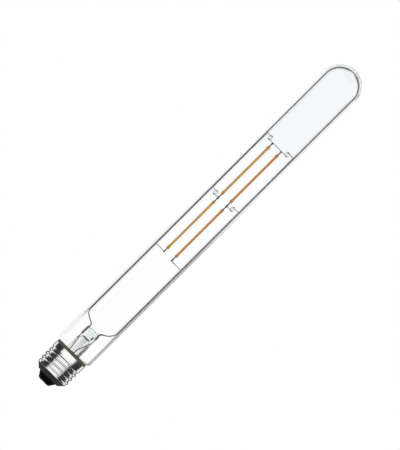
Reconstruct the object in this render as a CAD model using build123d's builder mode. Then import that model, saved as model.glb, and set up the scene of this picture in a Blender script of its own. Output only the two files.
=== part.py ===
from build123d import *
import os
from math import atan2, cos, pi, radians, sin, tan

os.makedirs("parts", exist_ok=True)

# A tubular filament lamp on a screw cap, in millimetres.
# The origin is the middle of the contact's outer face, and +Z runs up the lamp to its dome.

# Screw cap: a shell rolled from thin sheet
cap_sheet = 0.3
lip_height = 4.6
lip_opening = 14.0
lip_width = 1.9
cone_height = 3.7
thread_diameter = 26.4
thread_depth = 1.1
thread_pitch = 3.6
thread_turns = 4
thread_runout = 0.5
thread_start_angle = 125.0
sections_per_turn = 6
collar_step = 0.1
collar_height = 3.8

# Insulator in the shell's lip, and the nail contact in the insulator
insulator_tip_diameter = 9.4
insulator_overlap = 0.3
insulator_flange = 1.3
flange_clearance = 0.1
contact_proud = 0.45
contact_margin = 0.3
contact_bevel = 1.2
shank_diameter = 2.6
shank_length = 5.2
contact_floor = 1.1

# Glass tube, with a domed end above and a drawn-in neck below
overall_length = 300.0
tube_diameter = 29.5
tube_wall = 1.75
dome_apex_wall = 2.6
cement_bead = 2.1
neck_clearance = 0.5
neck_length = 10.4
shoulder_gap = 1.5
shoulder_rise = 1.3
shoulder_bend = 2.2

# Stem: a flare pinched flat at its top, with the exhaust tube in it
flare_diameter = 11.0
flare_wall = 1.1
flare_length = 19.4
flare_rim_margin = 0.3
trumpet_height = 4.0
pinch_length = 5.5
press_height = 6.8
press_width = 11.2
press_thickness = 4.4
press_corner = 1.6
press_edge = 0.7
cavity_drop = 0.8
exhaust_diameter = 2.8
exhaust_bore = 1.6
exhaust_socket_depth = 1.2
exhaust_tip_gap = 0.7
exhaust_tip_wall = 1.8
exhaust_tip_bevel = 1.0
blow_hole_rise = 1.0

# Wires
lead_diameter = 0.6
rail_diameter = 0.8
cross_diameter = 0.5
rail_glass_gap = 0.05
press_lead_cover = 0.9
lead_bend_radius = 1.5
rail_bend_radius = 1.2
rail_stub = 1.0
rail_spread_rise = 6.2
rail_overrun = 0.6
wire_overrun = 0.6
left_foot_x = -2.8
left_foot_y = 0.0
left_lead_rise = 10.4
left_weld_rise = -0.5
right_foot_x = 0.8
right_foot_y = -2.6
right_lead_rise = 14.4
right_weld_rise = 2.5
weld_bead_offset = 2.0
weld_bead_diameter = 1.0

# Filaments, in two columns of two
filament_base = 123.3
filament_length = 46.2
filament_diameter = 1.65
filament_head_diameter = 2.0
filament_head_length = 3.2
filament_tip_diameter = 1.2
filament_tip_length = 0.8
tab_width = 0.7
tab_thickness = 0.25
tab_reach = 3.2
tab_grip = 2.0
left_column_x = -4.7
right_column_x = 3.48
left_lower_drop = 2.4
right_lower_drop = 3.6

# Glass beads
bead_width = 2.7
bead_height = 3.9
bead_wire_pitch = 2.4
bead_wire_grip = 0.7
left_bead_x = -8.6
right_bead_x = 7.8

# Driver, under the stem in the cap
board_margin = 0.7
board_thickness = 1.0
solder_stub = 0.5
fuse_diameter = 2.3
fuse_cap_rim = 0.15
fuse_cap_length = 1.2
fuse_length = 5.6
fuse_standoff = 1.2
capacitor_diameter = 6.3
capacitor_length = 7.0
capacitor_groove = 0.3
capacitor_groove_height = 1.3
capacitor_bevel = 0.4
capacitor_x = 4.6
capacitor_y = 4.0
rectifier_length = 4.7
rectifier_width = 3.9
rectifier_height = 2.3
rectifier_pins = 2
rectifier_x = -4.9
rectifier_y = 4.0
chip_length = 4.5
chip_width = 2.5
chip_height = 1.5
chip_pins = 3
chip_x = -4.6
chip_y = -4.6
pin_width = 0.6
pin_length = 1.2
pin_root = 0.4
pin_rise = 0.9
package_standoff = 0.25
package_draft = 0.25
neutral_foot_x = 7.4
neutral_foot_y = -4.4
neutral_drop = 4.6
neutral_bend_radius = 1.2

# Heights and radii that follow from those sizes
lip_radius = lip_opening / 2
cone_radius = lip_radius + lip_width
thread_base = lip_height + cone_height
collar_base = thread_base + thread_turns * thread_pitch
cap_rim = collar_base + collar_height
thread_mean_radius = (thread_diameter - thread_depth) / 2
collar_radius = thread_diameter / 2 - collar_step
tube_radius = tube_diameter / 2
neck_radius = thread_diameter / 2 - thread_depth - cap_sheet - neck_clearance
shoulder_height = cap_rim + shoulder_gap
shoulder_turn = atan2(tube_radius - neck_radius, shoulder_rise)
seal_height = shoulder_height - neck_length
flare_radius = flare_diameter / 2
flare_rim_radius = neck_radius - tube_wall - flare_rim_margin
cavity_radius = flare_radius - flare_wall
stem_foot = seal_height - flare_wall
pinch_height = seal_height + flare_length
press_base = pinch_height + pinch_length
press_top = press_base + press_height
cavity_shoulder = pinch_height - cavity_drop
cavity_top = cavity_shoulder + cavity_radius
exhaust_top = cavity_top + exhaust_socket_depth
exhaust_tip = stem_foot + exhaust_tip_gap
board_base = stem_foot - board_thickness
press_lead_x = press_width / 2 - press_lead_cover
rail_offset = tube_radius - tube_wall - rail_glass_gap - rail_diameter / 2
rail_leave_height = press_top + rail_stub
rail_arrive_height = rail_leave_height + rail_spread_rise
middle_wire_height = filament_base + filament_length + tab_reach
upper_filament_base = middle_wire_height + tab_reach
crossbar_height = upper_filament_base + filament_length + tab_reach
middle_rail_wire_height = middle_wire_height + bead_wire_pitch
top_rail_wire_height = crossbar_height + bead_wire_pitch
column_setback = (cross_diameter + tab_thickness) / 2
fuse_top = board_base - fuse_standoff
fuse_base = fuse_top - fuse_length


def save(piece, name):
    """Labels a finished piece and writes it under its own name."""
    piece.label = name
    export_step(piece, f"parts/{name}.step")


def cap_form(inset):
    """The cap's solid form, drawn in by the sheet's thickness for its inside."""
    floor = lip_height + inset
    floor_radius = cone_radius + (thread_mean_radius - cone_radius) * inset / cone_height
    upright = (Align.CENTER, Align.CENTER, Align.MIN)
    sections = round(thread_turns * sections_per_turn)
    with BuildPart() as form:
        # A rolled thread of one start is a circle whose centre walks round the axis as it climbs
        for section in range(sections + 1):
            turn = thread_turns * section / sections
            run_in = min(1, turn / thread_runout)
            run_out = min(1, (thread_turns - turn) / thread_runout)
            swing = thread_depth / 2 * min(run_in, run_out)
            angle = radians(thread_start_angle) + 2 * pi * turn
            radius = collar_radius + (thread_mean_radius - collar_radius) * run_out
            centre = (swing * cos(angle), swing * sin(angle), thread_base + turn * thread_pitch)
            with BuildSketch(Plane(centre)):
                Circle(radius - inset)
        loft(ruled=True)
        with Locations((0, 0, floor)):
            Cone(floor_radius - inset, thread_mean_radius - inset, thread_base - floor, align=upright)
        with Locations((0, 0, collar_base)):
            Cylinder(collar_radius - inset, collar_height, align=upright)
    return form.part


def glass_form(inset, apex_inset):
    """The solid inside the glass tube's outline, drawn in by its wall and by its apex."""
    lift = inset * tan(shoulder_turn / 2)
    radius = tube_radius - inset
    dome_height = overall_length - apex_inset - radius
    with BuildPart() as form:
        with BuildSketch(Plane.XZ):
            with BuildLine():
                side = FilletPolyline(
                    (neck_radius - inset, shoulder_height + lift),
                    (radius, shoulder_height + shoulder_rise + lift),
                    (radius, dome_height),
                    radius=shoulder_bend - inset,
                )
                dome = CenterArc((0, dome_height), radius, 0, 90)
                Polyline(dome @ 1, (0, seal_height), (neck_radius - inset, seal_height), side @ 0)
            make_face()
        revolve(axis=Axis.Z)
    return form.part


def bent_wire(points, bend_radius, diameter):
    """A round wire that follows straight runs joined by tangent bends."""
    with BuildPart() as wire:
        with BuildLine() as route:
            FilletPolyline(*points, radius=bend_radius)
        with BuildSketch(Plane(route.line @ 0, z_dir=route.line % 0)):
            Circle(diameter / 2)
        sweep(path=route.line)
    return wire.part


def cross_wire(start_x, end_x, height):
    """A straight wire across the lamp, along X."""
    with BuildPart() as wire:
        with BuildSketch(Plane((start_x, 0, height), x_dir=(0, 1, 0), z_dir=(1, 0, 0))):
            Circle(cross_diameter / 2)
        extrude(amount=end_x - start_x)
    return wire.part


def filament_tab(column_x, column_y, low, high):
    """A flat metal tab in a filament's end."""
    with BuildPart() as tab:
        with BuildSketch(Plane((column_x, column_y, low))):
            Rectangle(tab_width, tab_thickness)
        extrude(amount=high - low)
    return tab.part


def filament(column_x, column_y, base, tabs):
    """A coated filament with a bullet head at each end, slotted for its two tabs."""
    half = filament_length / 2
    head_start = half - filament_head_length
    head_side = half - filament_tip_length
    middle = base + half
    with BuildPart() as rod:
        with BuildSketch(Plane((column_x, column_y, middle), x_dir=(1, 0, 0), z_dir=(0, -1, 0))):
            with BuildLine():
                Polyline(
                    (0, 0),
                    (filament_diameter / 2, 0),
                    (filament_diameter / 2, head_start),
                    (filament_head_diameter / 2, head_start + filament_tip_length),
                    (filament_head_diameter / 2, head_side),
                    (filament_tip_diameter / 2, half),
                    (0, half),
                    close=True,
                )
            make_face()
            mirror(about=Plane.XZ)
        revolve(axis=Axis((column_x, column_y, middle), (0, 0, 1)))
        add(tabs, mode=Mode.SUBTRACT)
    return rod.part


def bead(bead_x, height, wires):
    """A glass bead melted round the ends of two wires."""
    centre = (bead_x, 0, height)
    with BuildPart() as drop:
        with BuildSketch(Plane(centre, x_dir=(1, 0, 0), z_dir=(0, -1, 0))):
            SlotOverall(bead_height, bead_width, rotation=90)
            split(bisect_by=Plane.YZ)
        revolve(axis=Axis(centre, (0, 0, 1)))
        add(wires, mode=Mode.SUBTRACT)
    return drop.part


def moulded_chip(length, width, height, pins, plane):
    """A moulded package with a row of pins along each long side, on the board's underside."""
    with BuildPart() as chip:
        with BuildSketch(plane.offset(package_standoff)):
            Rectangle(length, width)
        with BuildSketch(plane.offset(height)):
            Rectangle(length - 2 * package_draft, width - 2 * package_draft)
        loft()
        with BuildSketch(plane):
            with GridLocations(length / pins, width + pin_length - 2 * pin_root, pins, 2):
                Rectangle(pin_width, pin_length)
        extrude(amount=pin_rise)
    return chip.part


# Cap shell
cap_outside = cap_form(0)
cap_inside = cap_form(cap_sheet)
with BuildPart() as cap_shell:
    add(cap_outside)
    add(cap_inside, mode=Mode.SUBTRACT)
    with BuildSketch(Plane.XY.offset(lip_height)):
        Circle(lip_radius)
    extrude(amount=cap_sheet, mode=Mode.SUBTRACT)
cap_shell.part.label = "cap_shell"
export_step(cap_shell.part, "parts/cap_shell.step")

# Live wire, on the axis from the fuse down into the contact's shank
with BuildPart() as live_wire:
    with BuildSketch(Plane.XY.offset(contact_floor)):
        Circle(lead_diameter / 2)
    extrude(amount=fuse_base - contact_floor)
live_wire.part.label = "live_wire"
export_step(live_wire.part, "parts/live_wire.step")

# Nail contact, with its wire in a blind bore
contact_radius = insulator_tip_diameter / 2 - contact_margin
with BuildPart() as centre_contact:
    with BuildSketch(Plane.XZ):
        with BuildLine():
            Polyline(
                (0, 0),
                (contact_radius - contact_bevel, 0),
                (contact_radius, contact_proud / 2),
                (contact_radius, contact_proud),
                (shank_diameter / 2, contact_proud),
                (shank_diameter / 2, contact_proud + shank_length),
                (0, contact_proud + shank_length),
                close=True,
            )
        make_face()
    revolve(axis=Axis.Z)
    add(live_wire.part, mode=Mode.SUBTRACT)
centre_contact.part.label = "centre_contact"
export_step(centre_contact.part, "parts/centre_contact.step")

# Insulator, which grips the shell's lip on both sides and holds the contact
flange_radius = cone_radius - cap_sheet - flange_clearance
flange_base = lip_height + cap_sheet
with BuildPart() as cap_insulator:
    with BuildSketch(Plane.XZ):
        with BuildLine():
            Polyline(
                (shank_diameter / 2, contact_proud),
                (insulator_tip_diameter / 2, contact_proud),
                (lip_radius + insulator_overlap, lip_height - insulator_overlap),
                (lip_radius + insulator_overlap, lip_height),
                (lip_radius, lip_height),
                (lip_radius, flange_base),
                (flange_radius, flange_base),
                (flange_radius, flange_base + insulator_flange),
                (shank_diameter / 2, flange_base + insulator_flange),
                close=True,
            )
        make_face()
    revolve(axis=Axis.Z)
cap_insulator.part.label = "cap_insulator"
export_step(cap_insulator.part, "parts/cap_insulator.step")

# Glass tube
glass_outside = glass_form(0, 0)
glass_inside = glass_form(tube_wall, dome_apex_wall)
with BuildPart() as glass_envelope:
    add(glass_outside)
    add(glass_inside, mode=Mode.SUBTRACT)
glass_envelope.part.label = "glass_envelope"
export_step(glass_envelope.part, "parts/glass_envelope.step")

# Basing cement, which fills the collar round the neck and stands up as a bead on its rim
with BuildPart() as basing_cement:
    with BuildSketch(Plane.XY.offset(collar_base)):
        Circle(collar_radius - cap_sheet)
    extrude(amount=collar_height + cement_bead)
    add(glass_outside, mode=Mode.SUBTRACT)
basing_cement.part.label = "basing_cement"
export_step(basing_cement.part, "parts/basing_cement.step")

# Each side's lead, rail, cross wires, beads, tabs and filaments
stem_wires = []
crossbar = cross_wire(left_bead_x - bead_wire_grip, right_bead_x + bead_wire_grip, crossbar_height)
save(crossbar, "top_crossbar")
for side, inward, column_x, bead_x, lower_drop, foot, lead_rise, weld_rise in (
    ("left", 1, left_column_x, left_bead_x, left_lower_drop,
     (left_foot_x, left_foot_y), left_lead_rise, left_weld_rise),
    ("right", -1, right_column_x, right_bead_x, right_lower_drop,
     (right_foot_x, right_foot_y), right_lead_rise, right_weld_rise),
):
    rail_x = -inward * rail_offset
    press_x = -inward * press_lead_x
    weld_height = press_base + weld_rise
    lead_in = bent_wire(
        [
            (*foot, board_base - solder_stub),
            (*foot, seal_height + lead_rise),
            (press_x, 0, cavity_top),
            (press_x, 0, weld_height),
        ],
        lead_bend_radius,
        lead_diameter,
    )
    save(lead_in, f"lead_in_{side}")
    rail = bent_wire(
        [
            (press_x, 0, weld_height),
            (press_x, 0, rail_leave_height),
            (rail_x, 0, rail_arrive_height),
            (rail_x, 0, top_rail_wire_height + rail_overrun),
        ],
        rail_bend_radius,
        rail_diameter,
    )
    save(rail, f"rail_{side}")
    stem_wires += [lead_in, rail]

    # The lower wire goes straight from the rail to the filament
    lower_height = filament_base - lower_drop
    with BuildPart() as lower_cross_wire:
        add(cross_wire(rail_x, column_x + inward * wire_overrun, lower_height))
        if side == "right":
            with Locations((column_x + weld_bead_offset, 0, lower_height)):
                Sphere(weld_bead_diameter / 2)
        add(rail, mode=Mode.SUBTRACT)
    save(lower_cross_wire.part, f"lower_cross_wire_{side}")

    # Higher up a bead keeps the rail's wire and the filament's wire apart
    grip = inward * bead_wire_grip
    with BuildPart() as middle_rail_wire:
        add(cross_wire(rail_x, bead_x + grip, middle_rail_wire_height))
        add(rail, mode=Mode.SUBTRACT)
    save(middle_rail_wire.part, f"middle_rail_wire_{side}")
    with BuildPart() as top_rail_wire:
        add(cross_wire(rail_x, bead_x + grip, top_rail_wire_height))
        add(rail, mode=Mode.SUBTRACT)
    save(top_rail_wire.part, f"top_rail_wire_{side}")
    filament_wire = cross_wire(bead_x - grip, column_x + inward * wire_overrun, middle_wire_height)
    save(filament_wire, f"middle_filament_wire_{side}")
    middle_bead_height = middle_wire_height + bead_wire_pitch / 2
    save(bead(bead_x, middle_bead_height, [middle_rail_wire.part, filament_wire]), f"middle_bead_{side}")
    top_bead_height = crossbar_height + bead_wire_pitch / 2
    save(bead(bead_x, top_bead_height, [top_rail_wire.part, crossbar]), f"top_bead_{side}")

    # Lower tabs lie against the front of the wires and upper tabs against the back
    for level, column_y, base, low_wire, high_wire in (
        ("lower", -column_setback, filament_base, lower_height, middle_wire_height),
        ("upper", column_setback, upper_filament_base, middle_wire_height, crossbar_height),
    ):
        top = base + filament_length
        bottom_tab = filament_tab(column_x, column_y, low_wire - wire_overrun, base + tab_grip)
        top_tab = filament_tab(column_x, column_y, top - tab_grip, high_wire + wire_overrun)
        save(bottom_tab, f"{level}_filament_{side}_bottom_tab")
        save(top_tab, f"{level}_filament_{side}_top_tab")
        save(filament(column_x, column_y, base, [bottom_tab, top_tab]), f"{level}_filament_{side}")

# Exhaust tube, tipped off below and open into the press above
with BuildPart() as exhaust_tube:
    with BuildSketch(Plane.XY.offset(exhaust_tip)):
        Circle(exhaust_diameter / 2)
    extrude(amount=exhaust_top - exhaust_tip)
    chamfer(exhaust_tube.edges().sort_by(Axis.Z)[0], length=exhaust_tip_bevel)
    with BuildSketch(Plane.XY.offset(exhaust_tip + exhaust_tip_wall)):
        Circle(exhaust_bore / 2)
    extrude(amount=exhaust_top - exhaust_tip, mode=Mode.SUBTRACT)
exhaust_tube.part.label = "exhaust_tube"
export_step(exhaust_tube.part, "parts/exhaust_tube.step")

# Stem: a rim that seals to the neck, a flared tube, and a press pinched flat round the wires
trumpet_top = seal_height + trumpet_height
with BuildPart() as stem_flare:
    with BuildSketch(Plane.XZ):
        with BuildLine():
            Polyline(
                (0, stem_foot),
                (neck_radius, stem_foot),
                (neck_radius, seal_height),
                (flare_rim_radius, seal_height),
                (flare_radius, trumpet_top),
                (flare_radius, pinch_height),
                (0, pinch_height),
                close=True,
            )
        make_face()
    revolve(axis=Axis.Z)
    with BuildSketch(Plane.XY.offset(pinch_height)):
        Circle(flare_radius)
    with BuildSketch(Plane.XY.offset(press_base)):
        RectangleRounded(press_width, press_thickness, press_corner)
    loft()
    with BuildSketch(Plane.XY.offset(press_base)):
        RectangleRounded(press_width, press_thickness, press_corner)
    extrude(amount=press_height)
    fillet(stem_flare.faces().sort_by(Axis.Z)[-1].edges(), radius=press_edge)
    # The flare's hollow, closed by a dome under the press
    with BuildSketch(Plane.XZ):
        with BuildLine():
            crown = CenterArc((0, cavity_shoulder), cavity_radius, 0, 90)
            Polyline(
                crown @ 1,
                (0, stem_foot),
                (flare_rim_radius, stem_foot),
                (cavity_radius, trumpet_top),
                crown @ 0,
            )
        make_face()
    revolve(axis=Axis.Z, mode=Mode.SUBTRACT)
    # The exhaust tube's socket, and the hole blown through the press above it
    with BuildSketch(Plane.XY.offset(exhaust_top)):
        Circle(exhaust_diameter / 2)
    extrude(amount=cavity_shoulder - exhaust_top, mode=Mode.SUBTRACT)
    with BuildSketch(Plane.XY.offset(exhaust_top)):
        Circle(exhaust_bore / 2)
    extrude(amount=blow_hole_rise, mode=Mode.SUBTRACT)
    with BuildSketch(Plane((0, 0, exhaust_top + blow_hole_rise), z_dir=(0, -1, 0))):
        Circle(exhaust_bore / 2)
    extrude(amount=press_thickness, mode=Mode.SUBTRACT)
    for wire in stem_wires:
        add(wire, mode=Mode.SUBTRACT)
stem_flare.part.label = "stem_flare"
export_step(stem_flare.part, "parts/stem_flare.step")

# Driver board, against the stem's foot, drilled for the wires soldered into it
with BuildPart() as driver_board:
    with BuildSketch(Plane.XY.offset(board_base)):
        Circle(neck_radius - board_margin)
        with Locations(
            (0, 0),
            (left_foot_x, left_foot_y),
            (right_foot_x, right_foot_y),
            (neutral_foot_x, neutral_foot_y),
        ):
            Circle(lead_diameter / 2, mode=Mode.SUBTRACT)
    extrude(amount=board_thickness)
driver_board.part.label = "driver_board"
export_step(driver_board.part, "parts/driver_board.step")

# Fuse resistor, on the axis, with its upper lead in the board
with BuildPart() as fuse_resistor:
    with BuildSketch(Plane.XY.offset(fuse_base)):
        Circle(fuse_diameter / 2)
    extrude(amount=fuse_length)
    for end in (fuse_base, fuse_top - fuse_cap_length):
        with BuildSketch(Plane.XY.offset(end)):
            Circle(fuse_diameter / 2 + fuse_cap_rim)
        extrude(amount=fuse_cap_length)
    with BuildSketch(Plane.XY.offset(fuse_top)):
        Circle(lead_diameter / 2)
    extrude(amount=fuse_standoff + board_thickness)
fuse_resistor.part.label = "fuse_resistor"
export_step(fuse_resistor.part, "parts/fuse_resistor.step")

# Smoothing capacitor: a can with a rolled groove, standing on the board's underside
capacitor_plane = Plane((capacitor_x, capacitor_y, board_base), x_dir=(1, 0, 0), z_dir=(0, 0, -1))
with BuildPart() as smoothing_capacitor:
    with BuildSketch(capacitor_plane):
        Circle(capacitor_diameter / 2)
    extrude(amount=capacitor_length)
    chamfer(smoothing_capacitor.edges().sort_by(Axis.Z)[0], length=capacitor_bevel)
    with BuildSketch(capacitor_plane.offset(capacitor_groove_height)):
        Circle(capacitor_diameter / 2)
        Circle(capacitor_diameter / 2 - capacitor_groove, mode=Mode.SUBTRACT)
    extrude(amount=2 * capacitor_groove, mode=Mode.SUBTRACT)
smoothing_capacitor.part.label = "smoothing_capacitor"
export_step(smoothing_capacitor.part, "parts/smoothing_capacitor.step")

# Rectifier and driver chip
rectifier_plane = Plane((rectifier_x, rectifier_y, board_base), x_dir=(1, 0, 0), z_dir=(0, 0, -1))
chip_plane = Plane((chip_x, chip_y, board_base), x_dir=(1, 0, 0), z_dir=(0, 0, -1))
rectifier = moulded_chip(rectifier_length, rectifier_width, rectifier_height, rectifier_pins, rectifier_plane)
save(rectifier, "bridge_rectifier")
chip = moulded_chip(chip_length, chip_width, chip_height, chip_pins, chip_plane)
save(chip, "driver_chip")

# Neutral wire, from the board out to the inside of the shell
neutral_reach = collar_radius / (neutral_foot_x**2 + neutral_foot_y**2) ** 0.5
neutral_turn = board_base - neutral_drop
neutral_run = bent_wire(
    [
        (neutral_foot_x, neutral_foot_y, stem_foot),
        (neutral_foot_x, neutral_foot_y, neutral_turn),
        (neutral_foot_x * neutral_reach, neutral_foot_y * neutral_reach, neutral_turn),
    ],
    neutral_bend_radius,
    lead_diameter,
)
with BuildPart() as neutral_wire:
    add(neutral_run)
    add(cap_inside, mode=Mode.INTERSECT)
neutral_wire.part.label = "neutral_wire"
export_step(neutral_wire.part, "parts/neutral_wire.step")
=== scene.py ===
import math

import bmesh
import bpy
from bpy.props import FloatProperty, FloatVectorProperty, IntProperty, PointerProperty
from bpy.types import Operator, Panel, PropertyGroup
from mathutils import Matrix, Vector


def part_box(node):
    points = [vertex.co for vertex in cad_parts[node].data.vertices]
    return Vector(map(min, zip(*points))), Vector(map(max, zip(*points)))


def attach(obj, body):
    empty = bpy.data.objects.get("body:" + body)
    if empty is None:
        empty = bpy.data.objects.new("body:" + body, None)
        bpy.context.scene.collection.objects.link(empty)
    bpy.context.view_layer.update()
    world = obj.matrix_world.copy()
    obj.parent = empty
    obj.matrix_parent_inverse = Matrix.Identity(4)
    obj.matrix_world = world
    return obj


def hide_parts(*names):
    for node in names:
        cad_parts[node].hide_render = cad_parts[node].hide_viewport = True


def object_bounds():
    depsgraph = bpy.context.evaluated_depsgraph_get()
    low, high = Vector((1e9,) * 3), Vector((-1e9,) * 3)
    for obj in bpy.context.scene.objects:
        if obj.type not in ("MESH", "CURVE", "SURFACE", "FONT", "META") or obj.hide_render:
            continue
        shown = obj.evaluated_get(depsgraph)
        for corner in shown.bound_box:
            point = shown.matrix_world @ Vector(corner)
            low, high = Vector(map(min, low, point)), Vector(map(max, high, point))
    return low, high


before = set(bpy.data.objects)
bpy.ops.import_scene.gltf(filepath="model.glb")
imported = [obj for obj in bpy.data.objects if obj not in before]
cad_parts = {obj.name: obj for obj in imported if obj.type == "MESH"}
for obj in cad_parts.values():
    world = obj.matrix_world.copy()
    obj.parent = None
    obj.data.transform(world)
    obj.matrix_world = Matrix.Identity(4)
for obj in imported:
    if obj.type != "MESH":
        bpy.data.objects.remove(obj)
cad_low, cad_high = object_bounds()

bl_info = {
    "name": "Tubular Lamp Looks",
    "version": (1, 0, 0),
    "blender": (4, 5, 0),
    "location": "View3D > Sidebar > Tubular Lamp",
    "description": "Models and finishes the visible pieces of a tubular filament lamp on its frame",
    "category": "Object",
}

SIDES = ("left", "right")
LEVELS = ("lower", "upper")
ORIGIN = (0.0, 0.0, 0.0)
BLACK = (0.0, 0.0, 0.0)
WHITE = (1.0, 1.0, 1.0)
MILLIMETRE = 0.001
MERGE_DISTANCE = 1e-6
CREASE = math.radians(35)
# Edges whose faces meet at more than this angle are sharp
STEEP = 1.0
# Faces whose normal's z is past this are level
LEVEL_FACE = 0.9

# The stem below its press: height, and how far the flat ring is rounded there
PINCH = ((0.0419, 0.12), (0.0409, 0.2), (0.0398, 0.3), (0.0386, 0.45), (0.037, 1.0))
PINCH_GROWTH = 1.045
# The roof of the stem's hollow: height, and the share of the bore left across it and in depth
ROOF = (
    (0.0376, 0.98, 0.89), (0.0390, 0.93, 0.68), (0.0403, 0.86, 0.48), (0.0414, 0.75, 0.34),
    (0.0421, 0.62, 0.27), (0.0418, 0.50, 0.22), (0.0414, 0.40, 0.19), (0.0412, 0.26, 0.16),
)
# The middle of the pocket of air in the press
POCKET = (0.0029, -0.0004, 0.0440)
# Dark arcs painted across the press, the upper one as painted shade along its rounded top edge:
# height and strength
PRESS_DARK_ARCS = ((0.0490, 0.65), (0.0465, 0.22))

# The wires' routes in millimetres: the leads up to the press, and the rails from the press outwards
LEAD_ROUTES = {
    "left": (
        (-2.8, 0, 15), (-2.8, 0, 22), (-2.8, 0, 27.5), (-3.5, 0, 33), (-4.4, 0, 39), (-4.7, 0, 41),
        (-4.7, 0, 42),
    ),
    "right": (
        (0.8, -2.6, 15), (0.8, -2.6, 25), (0.9, -2.55, 31.5), (2.8, -1.3, 36.2), (4.4, -0.2, 40),
        (4.7, 0, 42), (4.7, 0, 45),
    ),
}
RAIL_ROUTES = {
    "left": (
        (-4.7, 0, 42), (-4.7, 0, 45), (-4.55, 0, 48.5), (-4.2, 0, 50.2), (-5.3, 0, 51.6),
        (-9.6, 0, 53.7), (-11.7, 0, 55.2), (-12.5, 0, 57.2),
    ),
    "right": (
        (4.7, 0, 45), (4.7, 0, 47.5), (4.7, 0, 50.2), (6.9, 0, 51.5), (9.7, 0, 53.2),
        (11.3, 0, 55.4), (12.5, 0, 57.2),
    ),
}
RAIL_HEIGHTS = (0.0595, 0.064, 0.12, 0.18)


# Settings

def length(name, default, description):
    """A length that a user can change, in metres."""
    return FloatProperty(
        name=name, description=description, default=default, precision=5, unit="LENGTH"
    )


def angle(name, degrees, description):
    """An angle from nothing up to half a turn."""
    return FloatProperty(
        name=name,
        description=description,
        default=math.radians(degrees),
        min=0.0,
        max=math.pi,
        subtype="ANGLE",
    )


def share(name, default, description):
    """A share from nothing to the whole."""
    return FloatProperty(
        name=name, description=description, default=default, min=0.0, max=1.0, subtype="FACTOR"
    )


def number(name, default, description, top, unit="NONE"):
    """A number from nothing up to a limit."""
    return FloatProperty(
        name=name, description=description, default=default, min=0.0, max=top, unit=unit
    )


def count(name, default, description):
    """A whole number above nothing."""
    return IntProperty(name=name, description=description, default=default, min=1)


def colour(name, default, what):
    """The colour of something."""
    return FloatVectorProperty(
        name=name,
        description=f"Colour of {what}",
        default=default,
        size=3,
        min=0.0,
        max=1.0,
        subtype="COLOR",
    )


class GlassSettings(PropertyGroup):
    """The clear tube."""

    wall: length("Wall", 0.00175, "Thickness of the tube's wall")
    apex_wall: length("Apex wall", 0.0026, "Thickness of the glass at the top of the dome")
    neck_radius: length("Neck radius", 0.0113, "Outer radius of the drawn-in neck")
    shoulder_height: length("Shoulder height", 0.0280, "Height where the neck opens out")
    shoulder_rise: length("Shoulder rise", 0.0013, "Height over which the neck opens to the tube")
    shoulder_bend: length("Shoulder bend", 0.0022, "Outer radius of the bend from shoulder to tube")
    foot: length("Foot", 0.0037, "Height of the fused foot above the shoulder")
    steps: count("Steps", 160, "Faces round the tube")
    tint: colour("Tint", (0.995, 0.996, 0.997), "the glass along the filaments")
    # Painted shade: the greyer tint that the glass takes above the filaments
    painted_shade_tint: colour("Dome tint", (0.957, 0.964, 0.974), "the glass above the filaments")
    # Painted shade: the near-black that the glass walls are painted where they turn edge on, in the
    # tube and its foot
    edge: colour("Edge", (0.03, 0.032, 0.034), "the bore where it is seen edge on")


class CapSettings(PropertyGroup):
    """The screw cap with its insulator, contact and cement."""

    sheet: length("Sheet", 0.0003, "Thickness of the rolled sheet")
    lip_radius: length("Lip radius", 0.007, "Radius of the opening that holds the insulator")
    cone_radius: length("Cone radius", 0.0089, "Radius at the foot of the cone")
    cone_bend: length("Cone bend", 0.0006, "Radius of the bend at the foot of the cone")
    thread_base: length("Thread base", 0.0083, "Height where the thread starts")
    thread_radius: length("Thread radius", 0.01265, "Mean radius of the thread")
    thread_depth: length("Thread depth", 0.0011, "Depth of the thread from crest to groove")
    thread_pitch: length("Thread pitch", 0.0036, "Rise of the thread in one turn")
    thread_turns: count("Thread turns", 4, "Turns of the thread")
    collar_radius: length("Collar radius", 0.0131, "Radius of the plain collar")
    shank_radius: length("Shank radius", 0.0013, "Radius of the contact's shank")
    plate: colour("Plate", (0.97, 0.966, 0.957), "the bright plating")
    cone: colour("Cone", (0.021, 0.021, 0.021), "the darkened cone below the thread")
    insulator: colour("Insulator", (0.002, 0.002, 0.002), "the insulator")
    contact: colour("Contact", (0.42, 0.41, 0.39), "the centre contact")
    # Partly the cement's own colour and partly painted shade: kept dark so that the band above the
    # collar's rim looks dark
    cement: colour("Cement", (0.095, 0.096, 0.062), "the basing cement")


class StemSettings(PropertyGroup):
    """The glass stem in the lower end of the tube."""

    press_width: length("Press width", 0.0112, "Width of the flat press")
    press_thickness: length("Press thickness", 0.0044, "Thickness of the flat press")
    press_base: length("Press base", 0.0425, "Height where the press begins")
    press_height: length("Press height", 0.0068, "Height of the press")
    press_corner: length("Press corner", 0.0017, "Bevel of the press's upright corners")
    press_edge: length("Press edge", 0.0014, "Bevel round the top of the press")
    flare_radius: length("Flare radius", 0.0057, "Outer radius of the flare's tube")
    bore_radius: length("Bore radius", 0.0044, "Inner radius of the flare's tube")
    rim_radius: length("Rim radius", 0.0111, "Radius of the flare's rim")
    throat_radius: length("Throat radius", 0.0093, "Radius where the flare turns out to its rim")
    exhaust_radius: length("Exhaust radius", 0.0014, "Outer radius of the exhaust tube")
    exhaust_bore: length("Exhaust bore", 0.0008, "Inner radius of the exhaust tube")
    exhaust_top: length("Exhaust top", 0.0407, "Height of the exhaust tube's upper end")
    tint: colour("Tint", (0.984, 0.992, 0.990), "the flare's glass")
    press_tint: colour("Press tint", (0.80, 0.88, 0.865), "the press's glass")
    bead_tint: colour("Bead tint", (0.80, 0.83, 0.825), "the insulating beads")


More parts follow.
